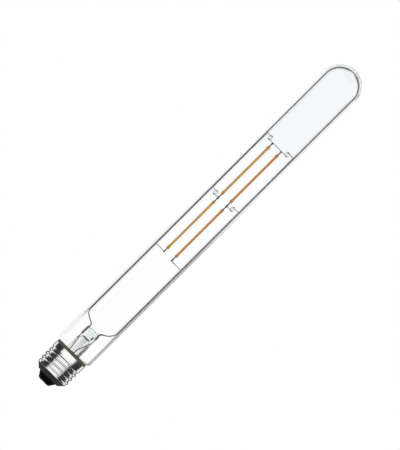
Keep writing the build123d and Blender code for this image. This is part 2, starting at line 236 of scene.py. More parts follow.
class WireSettings(PropertyGroup):
    """The wires and the tabs."""

    lead_radius: length("Lead radius", 0.00036, "Radius of the lead-in wires")
    rail_radius: length("Rail radius", 0.00038, "Radius of the rails")
    seal_top: length("Seal top", 0.0492, "Height up to which the sealed rails are oxidised")
    rail: colour("Rail", (0.014, 0.014, 0.015), "the rails")
    oxide: colour("Oxide", (0.006, 0.006, 0.006), "the rails where they are sealed in")
    lead: colour("Lead", (0.10, 0.10, 0.10), "the lead-in wires")
    cross: colour("Cross wire", (0.16, 0.16, 0.165), "the cross wires")
    tab_width: length("Tab width", 0.0009, "Width of a filament's flat tab")
    tab_pad: length("Tab pad", 0.0013, "Width of a tab where it is welded to its wire")
    tab: colour("Tab", (0.012, 0.011, 0.010), "the filament tabs")


class FilamentSettings(PropertyGroup):
    """The coated filaments."""

    radius: length("Radius", 0.00087, "Radius of a filament's body")
    head_radius: length("Head radius", 0.00108, "Radius of the thicker head at each end")
    tip_radius: length("Tip radius", 0.0006, "Radius of a head's flat tip")
    head_length: length("Head length", 0.0032, "Length of a head")
    tip_length: length("Tip length", 0.0008, "Length of a head's taper")
    left: colour("Left coating", (1.0, 0.48, 0.010), "the left column's coating")
    right: colour("Right coating", (1.0, 0.345, 0.001), "the right column's coating")
    head_shade: share("Head shade", 0.62, "How dark the coating is at the heads")


class StageSettings(PropertyGroup):
    """The floor, the light and the camera."""

    floor_drop: length("Floor drop", 0.12, "Height of the lamp's contact above the floor")
    floor_radius: length("Floor radius", 0.42, "Radius of the floor")
    lens: number("Lens", 1000.0, "Focal length of the camera", 5000.0, "CAMERA")
    distance: length("Distance", 8.5, "Distance from the camera to the lamp's axis")
    flank_start: angle("Flank start", 52.5, "Angle from the camera where the dark flags begin")
    flank_end: angle("Flank end", 120.0, "Angle from the camera where the dark flags end")
    flank_blur: angle("Flank blur", 9.0, "Half the angle over which a flag's edge fades")
    flank_level: share("Flank level", 0.028, "Brightness of the dark flags")
    edge_level: share("Edge level", 0.06, "Brightness of the room that the glass walls gather")
    ambient: number("Ambient", 0.8, "Brightness of the soft light from all round", 4.0)
    key_power: number("Key power", 4.0, "Power of the soft key light", 100.0, "POWER")


SETTINGS = {
    "lamp_glass": GlassSettings,
    "lamp_cap": CapSettings,
    "lamp_stem": StemSettings,
    "lamp_wires": WireSettings,
    "lamp_filaments": FilamentSettings,
    "lamp_stage": StageSettings,
}


# Modelling

def begin():
    """Goes to object mode with nothing selected."""
    if bpy.context.mode != "OBJECT":
        leave()
    bpy.ops.object.select_all(action="DESELECT")


def edit():
    """Opens the active piece in edit mode with everything selected."""
    bpy.ops.object.mode_set(mode="EDIT")
    select_all()


def leave():
    """Leaves edit mode."""
    bpy.ops.object.mode_set(mode="OBJECT")


def select_all(action="SELECT"):
    """Selects or deselects the whole mesh."""
    bpy.ops.mesh.select_all(action=action)


def smooth():
    """Shades the active piece smooth up to its sharp edges."""
    bpy.ops.object.shade_smooth_by_angle(angle=CREASE)


def edit_new(name):
    """Names the new primitive and opens it in edit mode with everything selected."""
    piece = bpy.context.object
    piece.name = name
    piece.data.name = name
    edit()
    bpy.ops.mesh.select_mode(type="VERT")
    select_all()
    return piece


def pick(piece, kind, test):
    """Selects the points, edges or faces that pass a test, in edit mode."""
    bpy.ops.mesh.select_mode(type=kind)
    select_all("DESELECT")
    mesh = bmesh.from_edit_mesh(piece.data)
    mesh.normal_update()
    for element in {"VERT": mesh.verts, "EDGE": mesh.edges, "FACE": mesh.faces}[kind]:
        if test(element):
            element.select_set(True)
    mesh.select_flush_mode()
    bmesh.update_edit_mesh(piece.data)


def slit(place, axis):
    """Cuts new edges through the whole mesh at a place, square to an axis."""
    select_all()
    bpy.ops.mesh.bisect(plane_co=place, plane_no=axis)


def extrude(move):
    """Draws the selected edges or faces out along a move."""
    bpy.ops.mesh.extrude_region_move(TRANSFORM_OT_translate={"value": move})


def widen(x, y, z=1.0, centre=ORIGIN):
    """Scales the selection about a centre."""
    bpy.ops.transform.resize(value=(x, y, z), center_override=centre)


def close_edit():
    """Merges doubles, turns the faces outwards and leaves edit mode."""
    select_all()
    bpy.ops.mesh.remove_doubles(threshold=MERGE_DISTANCE)
    bpy.ops.mesh.normals_make_consistent(inside=False)
    leave()


def apply_modifiers(piece):
    """Applies every modifier of a piece, in order."""
    for modifier in list(piece.modifiers):
        bpy.ops.object.modifier_apply(modifier=modifier.name)


def paint(piece, name, value_at):
    """Stores a value for each point of a piece, which its finish reads by name."""
    layer = piece.data.attributes.new(name, "FLOAT", "POINT")
    for vertex, entry in zip(piece.data.vertices, layer.data):
        entry.value = value_at(vertex)


def ramp(value, start, run):
    """A plain ramp from 0 at the start to 1 after the run."""
    return min(1.0, max(0.0, (value - start) / run))


def rounded(corners, steps=6):
    """A profile through (radius, height) corners; a third value bends a corner as a tangent arc."""
    points = []
    for index, (r, z, *bend) in enumerate(corners):
        here = Vector((r, z))
        if not bend or index in (0, len(corners) - 1):
            points.append(here)
            continue
        back = (Vector(corners[index - 1][:2]) - here).normalized()
        ahead = (Vector(corners[index + 1][:2]) - here).normalized()
        half = back.angle(ahead) / 2
        reach = bend[0] / math.tan(half)
        centre = here + (back + ahead).normalized() * (bend[0] / math.sin(half))
        start = here + back * reach - centre
        turn = math.pi - 2 * half
        if start.x * ahead.y - start.y * ahead.x < 0:
            turn = -turn
        for step in range(steps + 1):
            points.append(centre + Matrix.Rotation(turn * step / steps, 2) @ start)
    return points


def dome_arc(centre_z, radius, steps):
    """Points of a quarter circle about the axis, from its top down to its side."""
    points = []
    for step in range(steps + 1):
        angle = math.radians(90 - 90 * step / steps)
        points.append(Vector((radius * math.cos(angle), centre_z + radius * math.sin(angle))))
    return points


def spun(name, profile, steps):
    """A piece turned from a profile about the lamp's axis."""
    begin()
    bpy.ops.mesh.primitive_plane_add(size=0.001)
    piece = edit_new(name)
    bpy.ops.mesh.merge(type="CENTER")
    bpy.ops.transform.translate(value=(profile[0][0], 0.0, profile[0][1]))
    for before, after in zip(profile, profile[1:]):
        move = (after[0] - before[0], 0.0, after[1] - before[1])
        bpy.ops.mesh.extrude_vertices_move(TRANSFORM_OT_translate={"value": move})
    select_all()
    bpy.ops.mesh.spin(steps=steps, angle=2 * math.pi, center=ORIGIN, axis=(0.0, 0.0, 1.0))
    close_edit()
    smooth()
    return piece


def drawn_wire(name, points, radius, sealed, swell):
    """A round wire along a smooth line, thicker or thinner at its first, sealed points."""
    begin()
    bpy.ops.curve.primitive_nurbs_path_add(radius=0.01)
    wire = bpy.context.object
    wire.name = name
    route = wire.data
    spline = route.splines[0]
    spline.points.add(len(points) - len(spline.points))
    for index, (point, place) in enumerate(zip(spline.points, points)):
        point.co = (*place, 1.0)
        point.radius = swell if index < sealed else 1.0
    spline.order_u = 3
    spline.use_endpoint_u = True
    spline.resolution_u = 10
    route.bevel_depth = radius
    route.bevel_resolution = 6
    route.use_fill_caps = True
    bpy.ops.object.convert(target="MESH")
    wire = bpy.context.object
    wire.data.name = name
    edit()
    close_edit()
    smooth()
    return wire


def copied(piece, name, move):
    """A copy of a piece with its own mesh, moved to its own place."""
    begin()
    piece.select_set(True)
    bpy.context.view_layer.objects.active = piece
    bpy.ops.object.duplicate(linked=False)
    copy = bpy.context.object
    copy.name = name
    copy.data.name = name
    copy.location = move
    bpy.ops.object.transform_apply(location=True, rotation=False, scale=False)
    return copy


def finish_piece(piece, slot, nodes, *materials):
    """Gives a piece its finishes and its body, and hides the nodes that it stands for."""
    piece.data.materials.clear()
    for material in materials:
        piece.data.materials.append(material)
    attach(piece, "root")
    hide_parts(*nodes)


def copy_to(shape, name, part, slot, material):
    """Puts a finished copy of a shape in the place of the node that it stands for."""
    low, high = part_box(part)
    finish_piece(copied(shape, name, (low + high) / 2), slot, [part], material)


def dress(material, *parts):
    """Gives nodes of the frame a better finish."""
    for part in parts:
        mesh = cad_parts[part].data
        mesh.materials.clear()
        mesh.materials.append(material)


# Finishes

class Value:
    """A number in a shader tree, which can be added, multiplied and stepped."""

    def __init__(self, nodes, socket):
        self.nodes = nodes
        self.socket = socket

    def __add__(self, other):
        return self.nodes.math("ADD", self, other)

    def __sub__(self, other):
        return self.nodes.math("SUBTRACT", self, other)

    def __rsub__(self, other):
        return self.nodes.math("SUBTRACT", other, self)

    def __mul__(self, other):
        return self.nodes.math("MULTIPLY", self, other)

    def __abs__(self):
        return self.nodes.math("ABSOLUTE", self)

    def step(self, low, high, start=0.0, end=1.0):
        """A smooth step from one level to another between two limits."""
        made = self.nodes.add(
            "ShaderNodeMapRange",
            {"Value": self, "From Min": low, "From Max": high, "To Min": start, "To Max": end},
            interpolation_type="SMOOTHSTEP",
        )
        return Value(self.nodes, made.outputs["Result"])


class Nodes:
    """A shader tree with short ways to wire it."""

    def __init__(self, tree):
        self.tree = tree

    def feed(self, socket, value):
        """Links a value to a socket, or fills the socket with a constant."""
        if isinstance(value, Value):
            value = value.socket
        if isinstance(value, bpy.types.NodeSocket):
            self.tree.links.new(value, socket)
        elif socket.type == "RGBA":
            socket.default_value = (*value, 1.0)
        else:
            socket.default_value = value

    def add(self, kind, inputs=None, **values):
        """A new node with its values set and its inputs linked or filled."""
        made = self.tree.nodes.new(kind)
        for name, value in values.items():
            setattr(made, name, value)
        for name, value in (inputs or {}).items():
            self.feed(made.inputs[name], value)
        return made

    def math(self, operation, *values):
        """The result of a Math node."""
        made = self.add("ShaderNodeMath", dict(enumerate(values)), operation=operation)
        return Value(self, made.outputs[0])

    def largest(self, first, *others):
        """The largest of several values."""
        for other in others:
            first = self.math("MAXIMUM", first, other)
        return first

    def choose(self, factor, first, second):
        """One of two numbers, by a factor of 0 or 1."""
        return Value(self, self.add("ShaderNodeMix", {0: factor, 2: first, 3: second}).outputs[0])

    def mix(self, factor, first, second):
        """Two colours mixed by a factor."""
        inputs = {0: factor, 6: first, 7: second}
        return self.add("ShaderNodeMix", inputs, data_type="RGBA").outputs[2]


class Finish(Nodes):
    """A new material with its shader, whose constants are given by name."""

    def __init__(self, name, **constants):
        self.material = bpy.data.materials.new(name)
        self.material.use_nodes = True
        super().__init__(self.material.node_tree)
        self.shader = self.tree.nodes["Principled BSDF"]
        self.set(**constants)

    def set(self, **inputs):
        """Links or fills the shader's sockets."""
        for name, value in inputs.items():
            self.feed(self.shader.inputs[name.replace("_", " ")], value)

    def bump(self, height, strength, distance):
        """Sends a height to the shader as a bump."""
        inputs = {"Height": height, "Strength": strength, "Distance": distance}
        self.set(Normal=self.add("ShaderNodeBump", inputs).outputs["Normal"])

    def object_place(self):
        """The place of a point in the lamp's frame, because every piece sits at the origin."""
        return self.add("ShaderNodeTexCoord").outputs["Object"]

    def along(self, axis):
        """How far a point lies along one axis."""
        parts = self.add("ShaderNodeSeparateXYZ", {"Vector": self.object_place()})
        return Value(self, parts.outputs[axis])

    def grain(self, scale, detail=3.0, stretch=(1.0, 1.0, 1.0)):
        """Noise, stretched along the axes."""
        place = self.add("ShaderNodeMapping", {"Vector": self.object_place(), "Scale": stretch})
        inputs = {"Vector": place.outputs["Vector"], "Scale": scale, "Detail": detail}
        return Value(self, self.add("ShaderNodeTexNoise", inputs).outputs["Fac"])

    def facing(self):
        """How far a face is turned from the viewer."""
        return Value(self, self.add("ShaderNodeLayerWeight", {"Blend": 0.5}).outputs["Facing"])

    def painted(self, name):
        """A value that was stored on the piece's points."""
        return Value(self, self.add("ShaderNodeAttribute", attribute_name=name).outputs["Fac"])


def tinted(base, factor):
    """A colour made lighter or darker."""
    return tuple(min(1.0, channel * factor) for channel in base)


def clear_glass(name, tint, painted_shade_tint, edge):
    """Drawn tube glass, wavier at the dome, with painted shade that greys it above the filaments
    and darkens the bore where it turns edge on.
    """
    glass = Finish(name, Transmission_Weight=1.0, Roughness=0.0, IOR=1.5)
    top = cad_high.z
    height, aside = glass.along("Z"), glass.along("X")
    facing, bore = glass.facing(), glass.painted("bore")
    # Painted shade: above the filaments the glass turns to a greyer tint
    upper = height.step(0.70 * top, 0.765 * top)
    dome = height.step(0.945 * top, 0.965 * top)
    streaks = glass.grain(60.0, 2.0, (1.0, 1.0, 0.04))
    faint = glass.mix(streaks * 0.012, glass.mix(upper, tint, painted_shade_tint), (0.9, 0.92, 0.93))

    # Painted shade: the bore's dark edge differs by side, is wider above the filaments and thin at
    # the dome
    at_left = upper.step(0.0, 1.0, 0.07, 0.11)
    at_right = upper.step(0.0, 1.0, 0.0, 0.15)
    widened = aside.step(0.0, 0.004, at_left, at_right)
    narrowed = dome * aside.step(0.0, 0.004, 0.03, 0.06)
    painted_edge_shade = (facing + (widened - narrowed)).step(dome * 0.08 + 0.72, 0.86)
    apex = abs(aside).step(0.0008, 0.0035, 0.55, 0.0)
    painted_edge_shade = painted_edge_shade * bore * height.step(0.054, 0.059) * (1.0 - apex * dome)

    # Painted shade: short strokes of green show in the dome's outer face where it turns edge on,
    # more on the right
    strokes = glass.grain(260.0, 2.0).step(0.47, 0.60) * aside.step(-0.010, 0.006, 0.45, 1.0)
    rim = facing.step(0.5, 0.75) * (1.0 - bore) * dome * strokes
    worked = glass.mix(rim, faint, (0.20, 0.25, 0.235))
    glass.set(Base_Color=glass.mix(painted_edge_shade, worked, edge))
    glass.bump(glass.grain(130.0, 1.0) * (dome * 0.35), 0.25, 0.0006)
    return glass.material


def foot_glass(name, tint, edge):
    """The tube's fused foot, where light runs straight through, with painted shade that greys its
    right edge.
    """
    glass = Finish(name, Transmission_Weight=1.0, Roughness=0.0, IOR=1.002)
    clear = glass.mix(glass.grain(300.0, 2.0), tinted(tint, 0.97), tint)
    # Painted shade: the outer face greys where it turns edge on, more on the right
    outer = glass.facing().step(0.46, 0.57) * (1.0 - glass.painted("bore"))
    painted_edge_shade = outer * glass.along("X").step(0.0, 0.004, 0.1, 0.6)
    glass.set(Base_Color=glass.mix(painted_edge_shade, clear, edge))
    return glass.material


def stem_glass(name, tint, press_tint):
    """Worked glass, greener in the press, with dark arcs painted across it and painted shade along
    its walls and where the hollow ends.
    """
    glass = Finish(name, Transmission_Weight=1.0, Roughness=0.0, IOR=1.2)
    height, aside = glass.along("Z"), glass.along("X")
    pale = abs(aside).step(0.0018, 0.0026) * height.step(0.0456, 0.0466, 1.0, 0.0)
    body = glass.mix(pale, glass.mix(height.step(0.034, 0.0425), tint, press_tint), tint)
    striae = glass.grain(420.0, 2.0, (1.0, 1.0, 0.1)).step(0.42, 0.58)
    worked = glass.mix(striae, glass.mix(0.09, body, BLACK), glass.mix(0.2, body, WHITE))

    # Painted shade: the walls are darker edge on, mostly on the right and below the press
    lean = aside.step(-0.003, 0.003)
    painted_edge_shade = (glass.facing() + lean * 0.12).step(0.30, 0.70) * lean.step(0.0, 1.0, 0.2, 1.0)
    painted_edge_shade = painted_edge_shade * height.step(0.0395, 0.042, 1.0, 0.3)

    # Each dark arc bows down at the sides, so its height falls with the square of the distance from
    # the axis
    bow = height + aside * aside * 49.0
    near, far = 0.0001, 0.0005
    marks = [
        bow.step(level - far, level - near, 0.0, depth)
        * bow.step(level + near, level + far, 1.0, 0.0)
        for level, depth in PRESS_DARK_ARCS
    ]
    worked = glass.mix(glass.largest(*marks), worked, (0.16, 0.20, 0.20))
    # Painted shade darkens the walls edge on, the hollow's end, the pocket and the glass left of
    # the roof
    dark = glass.largest(painted_edge_shade, glass.painted("painted_hollow_shade"))
    glass.set(Base_Color=glass.mix(dark, worked, (0.02, 0.024, 0.024)))
    glass.bump(glass.grain(330.0, 1.0), 0.05, 0.0004)
    return glass.material


def bead_glass(name, tint):
    """A melted bead of pale glass, with painted shade at its edge, and darker where the stouter
    wire enters.
    """
    glass = Finish(name, Transmission_Weight=1.0, Roughness=0.2, IOR=1.3)
    cloud = glass.mix(glass.grain(900.0, 2.0), tinted(tint, 0.9), tinted(tint, 1.1))
    # Painted shade darkens the bead where it turns edge on
    painted_edge_shade = glass.facing().step(0.18, 0.62, 0.0, 0.95)
    dark = glass.largest(painted_edge_shade, glass.painted("crown"))
    glass.set(Base_Color=glass.mix(dark, cloud, tinted(tint, 0.06)))
    glass.bump(glass.grain(500.0, 1.0), 0.2, 0.0004)
    return glass.material


def plated_sheet(name, plate, cone, cone_top):
    """Bright plate with fine marks of rolling, and the darkened cone below the thread."""
    sheet = Finish(name, Specular_IOR_Level=0.2)
    haze = sheet.grain(260.0, 4.0)
    bright = sheet.mix(haze, tinted(plate, 0.93), tinted(plate, 1.06))
    dull = sheet.mix(haze, tinted(cone, 0.85), tinted(cone, 1.2))
    threaded = sheet.along("Z").step(cone_top - 0.0005, cone_top)
    polish = haze.step(0.3, 0.75, 0.15, 0.23)
    sheet.set(
        Base_Color=sheet.mix(threaded, dull, bright),
        Metallic=threaded,
        Roughness=polish + (1.0 - threaded) * 0.3,
    )
    sheet.bump(sheet.grain(900.0, 2.0, (0.1, 0.1, 1.0)), 0.04, 0.00005)
    return sheet.material


def wire_metal(name, base, roughness):
    """Drawn wire with fine lines along it and patches of oxide."""
    wire = Finish(name, Metallic=1.0, Specular_Tint=(0.4, 0.4, 0.4))
    oxide = wire.grain(700.0, 4.0)
    wire.set(
        Base_Color=wire.mix(oxide, tinted(base, 0.7), tinted(base, 1.3)),
        Roughness=oxide.step(0.25, 0.75, roughness * 0.8, roughness * 1.2),
    )
    wire.bump(wire.grain(4000.0, 2.0, (1.0, 1.0, 0.15)), 0.1, 0.00004)
    return wire.material


def coated(name, base, roughness, patch, patch_scale, bump, gloss=0.5):
    """A dull coat or moulding with patches of colour and a fine surface."""
    coat = Finish(name, Specular_IOR_Level=gloss)
    spots = coat.grain(patch_scale, 4.0)
    coat.set(
        Base_Color=coat.mix(spots, tinted(base, 1.0 - patch), tinted(base, 1.0 + patch)),
        Roughness=spots.step(0.25, 0.75, roughness * 0.85, roughness * 1.15),
    )
    coat.bump(coat.grain(patch_scale * 3.0, 2.0), bump, 0.0001)
    return coat.material


def phosphor(name, base, head_shade):
    """Phosphor coat with chips showing faintly along it and darker heads."""
    coat = Finish(name, Roughness=0.6, Specular_IOR_Level=0.05)
    chip_pitch = 0.0016
    chips = abs(coat.math("SINE", coat.along("Z") * (math.pi / chip_pitch)))
    speckle = coat.grain(1500.0, 3.0)
    body = coat.mix(speckle, tinted(base, 0.86), tinted(base, 1.14))
    body = coat.mix(chips * 0.07, body, tinted(base, 1.45))
    coat.set(Base_Color=coat.mix(coat.painted("head"), body, tinted(base, head_shade)))
    coat.bump(speckle, 0.15, 0.00005)
    return coat.material


# Operators

class LAMP_OT_envelope(Operator):
    """Turns the clear tube with its outer and inner walls"""

    bl_idname = "lamp.envelope"
    bl_label = "Clear Tube"

    def execute(self, context):
        glass = context.scene.lamp_glass
        low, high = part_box("glass_envelope")
        radius = high.x
        turn = math.atan2(radius - glass.neck_radius, glass.shoulder_rise)
        straight = 0.001
        bend_end = glass.shoulder_height + glass.shoulder_rise + glass.shoulder_bend
        profile = []
        for inset, apex in ((0.0, 0.0), (glass.wall, glass.apex_wall)):
            side = radius - inset
            neck = glass.neck_radius - inset
            dome = high.z - apex - side
            shoulder = glass.shoulder_height + inset * math.tan(turn / 2)
            corners = [
                (side, dome - straight), (side, bend_end + straight),
                (side, shoulder + glass.shoulder_rise, glass.shoulder_bend - inset),
                (neck, shoulder, glass.shoulder_bend / 2 + inset),
                (neck, low.z),
            ]
            wall = dome_arc(dome, side, 30) + rounded(corners, 10)
            profile += wall if not inset else reversed(wall)
        tube = spun("clear_tube", profile, glass.steps)
        middle = Vector((0.0, 0.0, (low.z + high.z) / 2))
        paint(tube, "bore", lambda point: float(point.normal.dot(point.co - middle) < 0.0))
        body = clear_glass("clear_tube_glass", glass.tint, glass.painted_shade_tint, glass.edge)
        foot = foot_glass("fused_foot_glass", glass.tint, glass.edge)
        finish_piece(tube, "clear_glass", ["glass_envelope"], body, foot)
        for face in tube.data.polygons:
            face.material_index = int(face.center.z < glass.shoulder_height + glass.foot)
        return {"FINISHED"}


def shell_rings(cap):
    """The shell's rings from the lip upwards: radius and centre."""
    low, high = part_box("cap_shell")
    rings_per_turn = 36
    runout = 0.5
    start_angle = math.radians(125)
    foot = [
        (cap.lip_radius, low.z),
        (cap.cone_radius, low.z, cap.cone_bend),
        (cap.thread_radius, cap.thread_base),
    ]
    rings = [(r, 0.0, 0.0, z) for r, z in rounded(foot, 5)]
    # A rolled thread of one start is a circle whose centre walks round the axis as it climbs
    for ring in range(1, cap.thread_turns * rings_per_turn + 1):
        turn = ring / rings_per_turn
        run_in = min(1.0, turn / runout)
        run_out = min(1.0, (cap.thread_turns - turn) / runout)
        swing = cap.thread_depth / 2 * min(run_in, run_out)
        angle = start_angle + 2 * math.pi * turn
        radius = cap.collar_radius + (cap.thread_radius - cap.collar_radius) * run_out
        height = cap.thread_base + turn * cap.thread_pitch
        rings.append((radius, swing * math.cos(angle), swing * math.sin(angle), height))
    for part in (0.25, 0.5, 0.75, 1.0):
        below = rings[-1][3]
        rings.append((cap.collar_radius, 0.0, 0.0, below + (high.z - below) * part))
    return rings


class LAMP_OT_cap_shell(Operator):
    """Rolls the thread of the cap's shell ring by ring and gives the sheet its thickness"""

    bl_idname = "lamp.cap_shell"
    bl_label = "Cap Shell"

    def execute(self, context):
        cap = context.scene.lamp_cap
        rings = shell_rings(cap)
        begin()
        bpy.ops.mesh.primitive_circle_add(vertices=112, radius=rings[0][0], fill_type="NOTHING")
        shell = edit_new("cap_screw_shell")
        bpy.ops.transform.translate(value=rings[0][1:])
        for before, after in zip(rings, rings[1:]):
            extrude(tuple(b - a for a, b in zip(before[1:], after[1:])))
            grow = after[0] / before[0]
            if abs(grow - 1.0) > 1e-7:
                widen(grow, grow, centre=after[1:])
        close_edit()
        sheet = shell.modifiers.new("Sheet", "SOLIDIFY")
        sheet.thickness = cap.sheet
        sheet.offset = -1.0
        edge = shell.modifiers.new("Edge", "BEVEL")
        edge.width = cap.sheet / 4
        edge.segments = 2
        edge.limit_method = "ANGLE"
        edge.angle_limit = math.radians(60)
        apply_modifiers(shell)
        smooth()
        cone_top = cap.thread_base + 0.00025
        plate = plated_sheet("bright_plate", cap.plate, cap.cone, cone_top)
        finish_piece(shell, "cap_plate", ["cap_shell"], plate)
        return {"FINISHED"}


class LAMP_OT_cap_end(Operator):
    """Turns the insulator and the nail contact in the cap's lower end"""

    bl_idname = "lamp.cap_end"
    bl_label = "Insulator and Contact"

    def execute(self, context):
        cap = context.scene.lamp_cap
        shank = cap.shank_radius
        seat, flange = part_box("cap_insulator")
        tip = seat.z
        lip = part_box("cap_shell")[0].z
        tip_radius, base_radius, head_flat = 0.0047, 0.0073, 0.0032
        corners = [
            (shank, tip), (tip_radius, tip, 0.0004),
            (base_radius, lip - 0.0003, 0.0002), (base_radius, lip),
            (cap.lip_radius, lip), (cap.lip_radius, lip + cap.sheet),
            (flange.x, lip + cap.sheet), (flange.x, flange.z, 0.0002),
            (shank, flange.z), (shank, tip),
        ]
        insulator = spun("cap_end_insulator", rounded(corners), 96)
        moulding = coated("black_insulator", cap.insulator, 0.6, 0.3, 500.0, 0.05, 0.03)
        finish_piece(insulator, "insulator", ["cap_insulator"], moulding)

        low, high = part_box("centre_contact")
        corners = [
            (0.0, low.z), (head_flat, low.z, 0.0006),
            (high.x, tip / 2, 0.0001), (high.x, tip),
            (shank, tip), (shank, high.z, 0.0002), (0.0, high.z),
        ]
        contact = spun("nail_contact", rounded(corners), 72)
        metal = wire_metal("dulled_contact", cap.contact, 0.3)
        finish_piece(contact, "contact", ["centre_contact"], metal)
        return {"FINISHED"}


class LAMP_OT_cement(Operator):
    """Turns the ring of basing cement and roughens its bead"""

    bl_idname = "lamp.cement"
    bl_label = "Basing Cement"

    def execute(self, context):
        cap = context.scene.lamp_cap
        glass = context.scene.lamp_glass
        low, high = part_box("basing_cement")
        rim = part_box("cap_shell")[1].z
        inner, outer = glass.neck_radius, high.x
        slope = glass.shoulder_rise / (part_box("glass_envelope")[1].x - inner)
        shoulder = glass.shoulder_height
        top = shoulder + slope * (outer - inner)
        corners = [
            (inner, low.z), (outer, low.z), (outer, rim), (outer, rim + 0.0006),
            (outer, top - 0.0001, 0.0002), (outer - 0.0002, top - 0.00012),
            (inner + 0.0012, shoulder + 0.0002), (inner + 0.0001, shoulder - 0.0012),
            (inner, low.z),
        ]
        ring = spun("cement_ring", rounded(corners), 144)
        skin = 0.0002
        edit()
        pick(
            ring,
            "VERT",
            lambda point: point.co.z > rim + skin and point.co.xy.length > outer - skin,
        )
        bpy.ops.transform.vertex_random(offset=0.00004, uniform=1.0, normal=0.0, seed=4)
        leave()
        # The olive is darkened as painted shade for the band above the collar's rim
        cement = coated("shaded_olive_cement", cap.cement, 0.85, 0.35, 900.0, 0.5)
        finish_piece(ring, "cement", ["basing_cement"], cement)
        return {"FINISHED"}


def pressed_block(stem):
    """The flat press as a bevelled block, cut up so that it can be rounded below."""
    width = stem.press_width
    middle = (0.0, 0.0, stem.press_base + stem.press_height / 2)
    begin()
    bpy.ops.mesh.primitive_cube_add(size=1.0)
    piece = edit_new("stem_press_and_flare")
    widen(width, stem.press_thickness, stem.press_height)
    bpy.ops.transform.translate(value=middle)
    for place in (-0.27, -0.2, -0.14, -0.07, 0.0, 0.07, 0.14, 0.2, 0.27):
        slit((place * width, 0.0, 0.0), (1.0, 0.0, 0.0))
    slit(ORIGIN, (0.0, 1.0, 0.0))
    slit(middle, (0.0, 0.0, 1.0))
    pick(
        piece,
        "EDGE",
        lambda edge: edge.calc_face_angle() > STEEP
        and all(abs(face.normal.z) < 0.1 for face in edge.link_faces),
    )
    bpy.ops.mesh.bevel(offset=stem.press_corner, segments=4, affect="EDGES")
    pick(
        piece,
        "EDGE",
        lambda edge: sorted(face.normal.z > LEVEL_FACE for face in edge.link_faces)
        == [False, True],
    )
    bpy.ops.mesh.bevel(offset=stem.press_edge, segments=3, affect="EDGES")
    return piece


def selected_reach(piece):
    """The mean distance of the selected face's points from the axis."""
    mesh = bmesh.from_edit_mesh(piece.data)
    points = {point for face in mesh.faces if face.select for point in face.verts}
    return sum(point.co.xy.length for point in points) / len(points)


def draw_flare(piece, stem):
    """Draws the lower face down into the round flare, in at the foot and up into the hollow."""
    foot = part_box("stem_flare")[0].z
    bore, flare = stem.bore_radius, stem.flare_radius
    rim, throat = stem.rim_radius, stem.throat_radius
    edge = foot + 0.0011
    trumpet = foot + 0.0051
    waist = trumpet - 0.0015
    crown, upper, lower = 0.0362, 0.029, 0.0235
    rings = (
        (crown, flare), (upper, flare), (lower, flare), (trumpet, flare * 1.02),
        (waist, flare * 1.16), (edge + 0.001, flare * 1.45), (edge, throat),
        (edge - 0.0001, rim), (foot, rim), (foot, throat), (edge, flare * 1.25),
        (waist, bore * 1.2), (trumpet, bore * 1.02), (lower, bore), (upper, bore), (crown, bore),
    )
    pick(piece, "FACE", lambda face: face.normal.z < -LEVEL_FACE)
    bpy.ops.mesh.dissolve_faces()
    pick(piece, "FACE", lambda face: face.normal.z < -LEVEL_FACE)
    height, reach = stem.press_base, flare
    for level, roundness in PINCH:
        centre = (0.0, 0.0, level)
        extrude((0.0, 0.0, level - height))
        bpy.ops.transform.tosphere(value=roundness, center_override=centre)
        grow = PINCH_GROWTH if roundness < 1.0 else reach / selected_reach(piece)
        widen(grow, grow, centre=centre)
        height = level
    for level, target in rings:
        extrude((0.0, 0.0, level - height))
        widen(target / reach, target / reach, centre=(0.0, 0.0, level))
        height, reach = level, target
    wide = deep = 1.0
    for level, x, y in ROOF:
        extrude((0.0, 0.0, level - height))
        widen(x / wide, y / deep, centre=(0.0, 0.0, level))
        height, wide, deep = level, x, y
    close_edit()


def painted_hollow_shade(vertex):
    """How much painted shade the glass takes at a point: at the hollow's end, in the pocket and
    left of the roof.
    """
    x, y, z = vertex.co
    middle, curve, band = 0.0412, 95.0, 0.0006
    half_width, half_depth, core = 0.0031, 0.0021, 0.0015
    pocket_length, pocket_width, left_shade = 0.002, 0.001, 0.45
    bow = middle + curve * x * x
    if abs(z - bow) < band and math.hypot(x / half_width, y / half_depth) < 1.0:
        return 1.0
    if abs(y) >= core:
        return 0.0
    if (vertex.co - Vector(POCKET)).length < pocket_length and abs(x - POCKET[0]) < pocket_width:
        return 1.0
    return left_shade * (0.0401 < z < 0.0425 and -0.0042 < x < -0.0022)


class LAMP_OT_stem(Operator):
    """Presses a block into the stem's flat press, draws it down to the flare and hollows it"""

    bl_idname = "lamp.stem"
    bl_label = "Glass Stem"

    def execute(self, context):
        stem = context.scene.lamp_stem
        piece = pressed_block(stem)
        draw_flare(piece, stem)

        # A slim pocket of air is left in the press, on the right
        edit()
        select_all("DESELECT")
        bpy.ops.mesh.primitive_uv_sphere_add(
            segments=12, ring_count=8, radius=0.0005, location=POCKET
        )
        widen(1.5, 1.2, 3.6, POCKET)
        bpy.ops.mesh.flip_normals()
        leave()
        melted = piece.modifiers.new("Melted", "SUBSURF")
        melted.levels = melted.render_levels = 2
        apply_modifiers(piece)
        bpy.ops.object.shade_smooth()
        # Stores the painted shade at the hollow's end, in the pocket and left of the roof
        paint(piece, "painted_hollow_shade", painted_hollow_shade)
        glass = stem_glass("stem_clear_glass", stem.tint, stem.press_tint)
        finish_piece(piece, "stem_glass", ["stem_flare"], glass)

        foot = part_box("exhaust_tube")[0].z
        tip, top = foot + 0.0018, stem.exhaust_top
        outer, bore = stem.exhaust_radius, stem.exhaust_bore
        corners = [
            (0.0, foot), (outer, foot, 0.0009), (outer, top, 0.0002),
            (bore, top, 0.0002), (bore, tip, 0.0006), (0.0, tip),
        ]
        tube = spun("exhaust_glass_tube", rounded(corners), 64)
        clear = tinted(stem.tint, 1.01)
        glass = stem_glass("exhaust_clear_glass", clear, clear)
        finish_piece(tube, "stem_glass", ["exhaust_tube"], glass)
        return {"FINISHED"}


